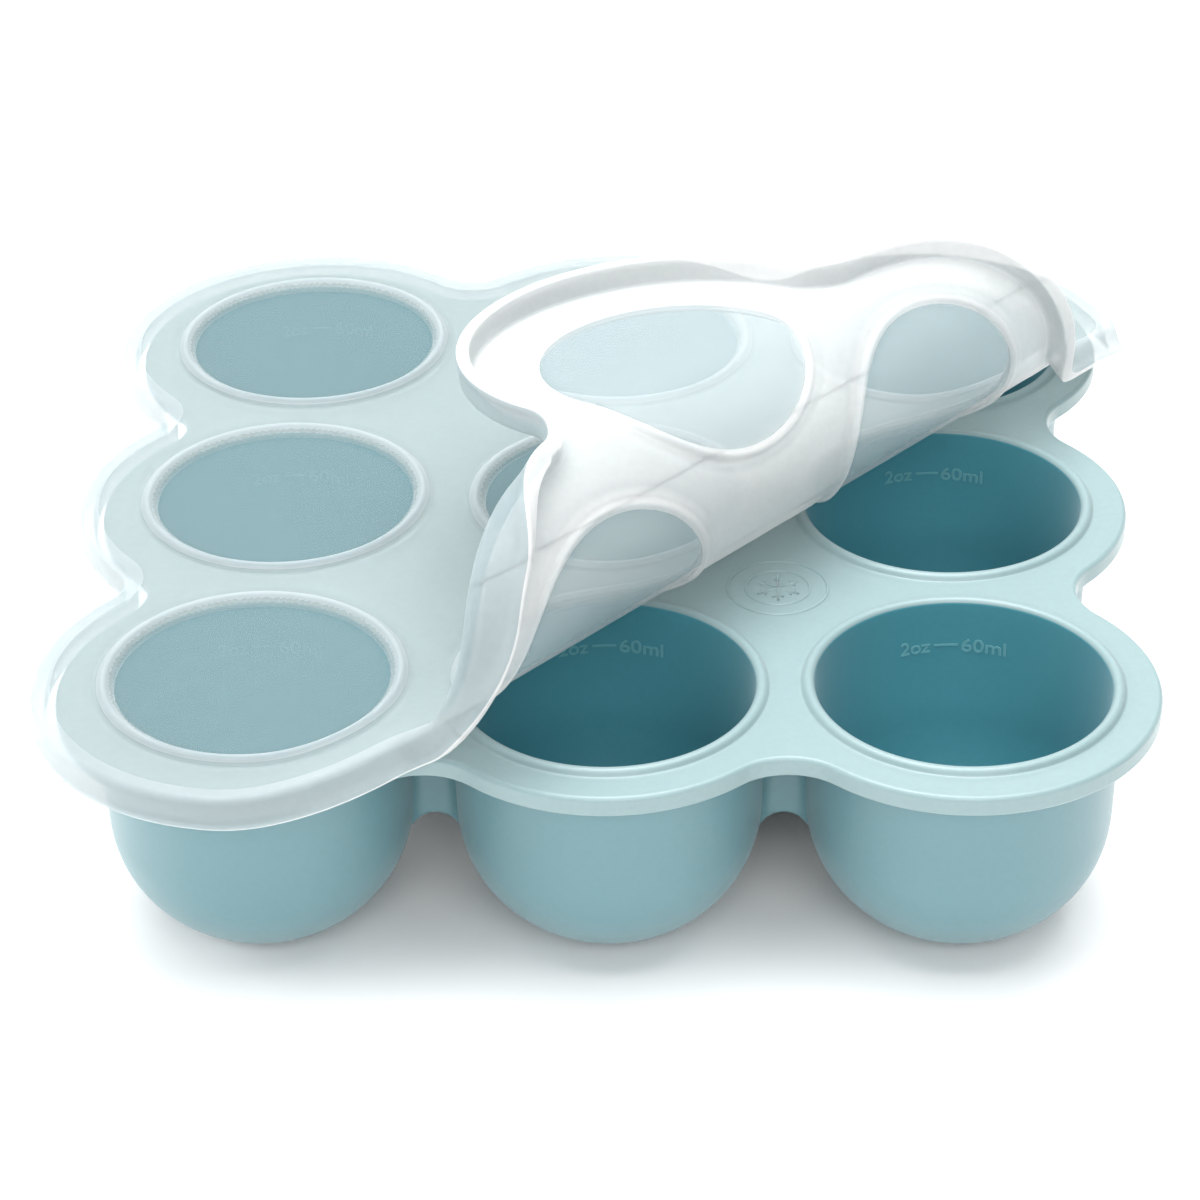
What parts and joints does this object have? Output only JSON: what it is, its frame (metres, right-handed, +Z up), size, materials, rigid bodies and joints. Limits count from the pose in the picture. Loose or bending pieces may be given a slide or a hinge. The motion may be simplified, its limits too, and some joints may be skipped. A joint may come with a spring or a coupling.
{
  "type": "baby food freezer tray",
  "caption": "Soft freezer tray of round-bottomed cups in a square grid with a lobed rim, and a windowed lid that grips the rim, peeled back from one corner.",
  "frame": {"origin": "under the centre of the tray, on the plane its cups stand on", "axes": "+Z up out of the cups, +X to the right and -Y to the front, along the rows of cups; the lid is peeled open at the +X -Y corner"},
  "size_m": [0.1996, 0.1987, 0.0955],
  "materials": {
    "tray_silicone": "smooth satin, faintly translucent",
    "lid_silicone": "frosted and translucent, clearer in the windows"
  },
  "bodies": {
    "tray": {"cup_front_left": "tray_silicone", "cup_front_centre": "tray_silicone", "cup_front_right": "tray_silicone", "cup_middle_left": "tray_silicone", "cup_middle_centre": "tray_silicone", "cup_middle_right": "tray_silicone", "cup_back_left": "tray_silicone", "cup_back_centre": "tray_silicone", "cup_back_right": "tray_silicone", "tray_deck": "tray_silicone", "tray_webs": "tray_silicone"},
    "lid": {"lid_seated": "lid_silicone", "lid_skirt": "lid_silicone"},
    "bend_lower": {"lid_bend_lower": "lid_silicone"},
    "bend_upper": {"lid_bend_upper": "lid_silicone"},
    "corner": {"lid_corner": "lid_silicone"}
  },
  "joints": [
    {"name": "lid_lift", "type": "slide", "parent": "tray", "child": "lid", "axis": [0, 0, 1], "range_m": [0, 0.08]},
    {"name": "peel_near", "type": "hinge", "parent": "lid", "child": "bend_lower", "pos_m": [0.02469, -0.02208, 0.05267], "axis": [-0.6659, -0.7461, 0.0019], "range_deg": [-62.25, 5], "deforming": ["lid_bend_lower"]},
    {"name": "peel_middle", "type": "hinge", "parent": "bend_lower", "child": "bend_upper", "pos_m": [0.03321, -0.02914, 0.07188], "axis": [-0.66, -0.7511, 0.0154], "range_deg": [-62.25, 5], "deforming": ["lid_bend_lower", "lid_bend_upper"]},
    {"name": "peel_far", "type": "hinge", "parent": "bend_upper", "child": "corner", "pos_m": [0.02492, -0.02159, 0.08817], "axis": [-0.6657, -0.7457, 0.0269], "range_deg": [-62.25, 5], "deforming": ["lid_bend_upper"]}
  ],
  "couplings": [
    {"joint": "peel_middle", "follows": "peel_near", "ratio": 1},
    {"joint": "peel_far", "follows": "peel_near", "ratio": 1}
  ]
}
